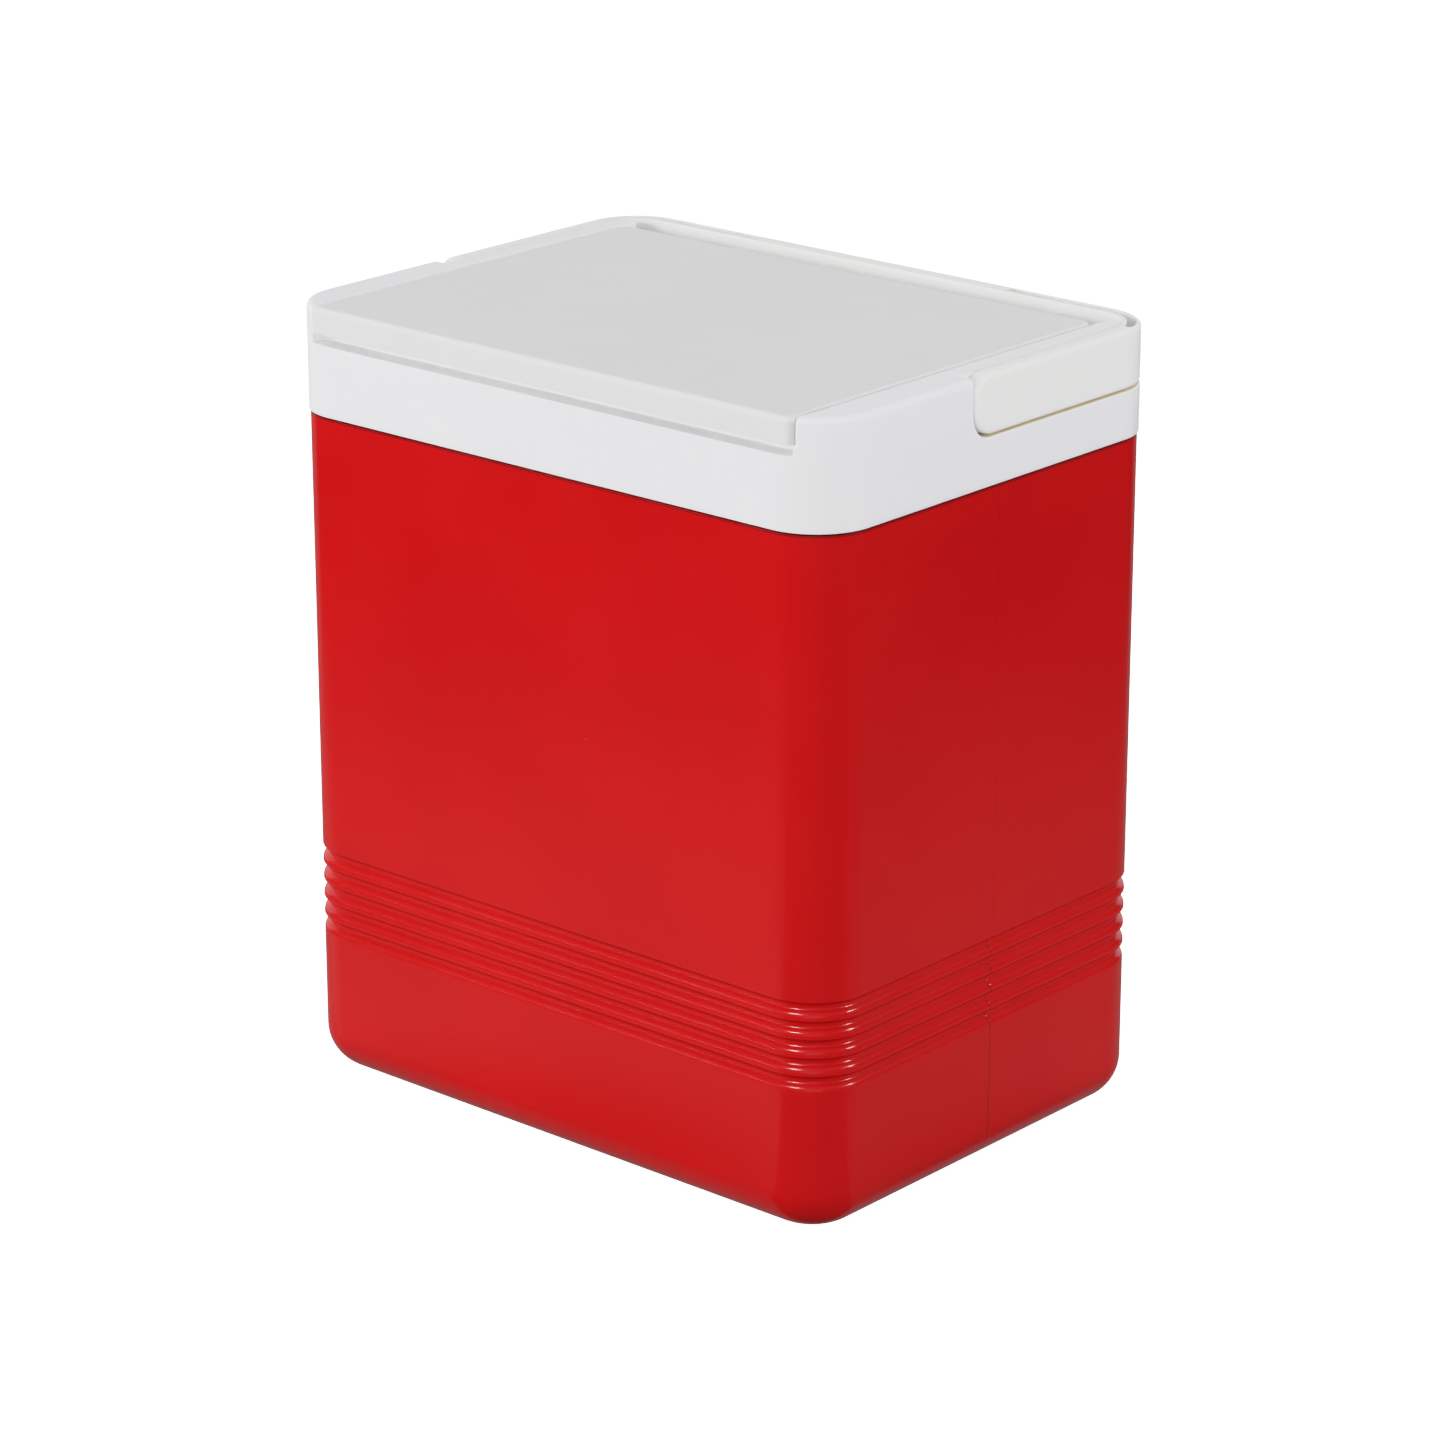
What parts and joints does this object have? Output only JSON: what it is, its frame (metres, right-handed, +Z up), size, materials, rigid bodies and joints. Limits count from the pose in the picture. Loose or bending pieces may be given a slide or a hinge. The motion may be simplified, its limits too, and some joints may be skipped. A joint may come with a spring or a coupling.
{
  "type": "insulated picnic cooler",
  "caption": "Upright insulated cooler with ribbed shell, foam-lined tub, flush lift-off lid with finger groove, and a bail handle that folds round the back.",
  "frame": {"origin": "centre of the base, on the surface that the cooler stands on", "axes": "+Z up; the front, with the finger groove under the lid's lip, faces -Y; the long side runs along X; the handle folds to +Y"},
  "size_m": [0.3314, 0.2444, 0.3845],
  "materials": {
    "shell_red": "satin",
    "collar_white": "satin",
    "lid_white": "satin",
    "handle_white": "satin",
    "liner_white": "satin",
    "pin_white": "satin",
    "foam": "matte"
  },
  "bodies": {
    "base": {"body_shell": "shell_red", "body_foam": "foam", "liner": "liner_white", "collar": "collar_white"},
    "lid": {"lid_top": "lid_white", "lid_foam": "foam", "lid_tray": "liner_white"},
    "bail": {"handle": "handle_white", "pivot_pin_left": "pin_white", "pivot_pin_right": "pin_white"}
  },
  "joints": [
    {"name": "handle_swing", "type": "hinge", "parent": "base", "child": "bail", "pos_m": [0, -0.0044, 0.3704], "axis": [1, 0, 0], "range_deg": [0, 90]},
    {"name": "lid_lift", "type": "slide", "parent": "base", "child": "lid", "axis": [0, 0, 1], "range_m": [0, 0.08]}
  ]
}
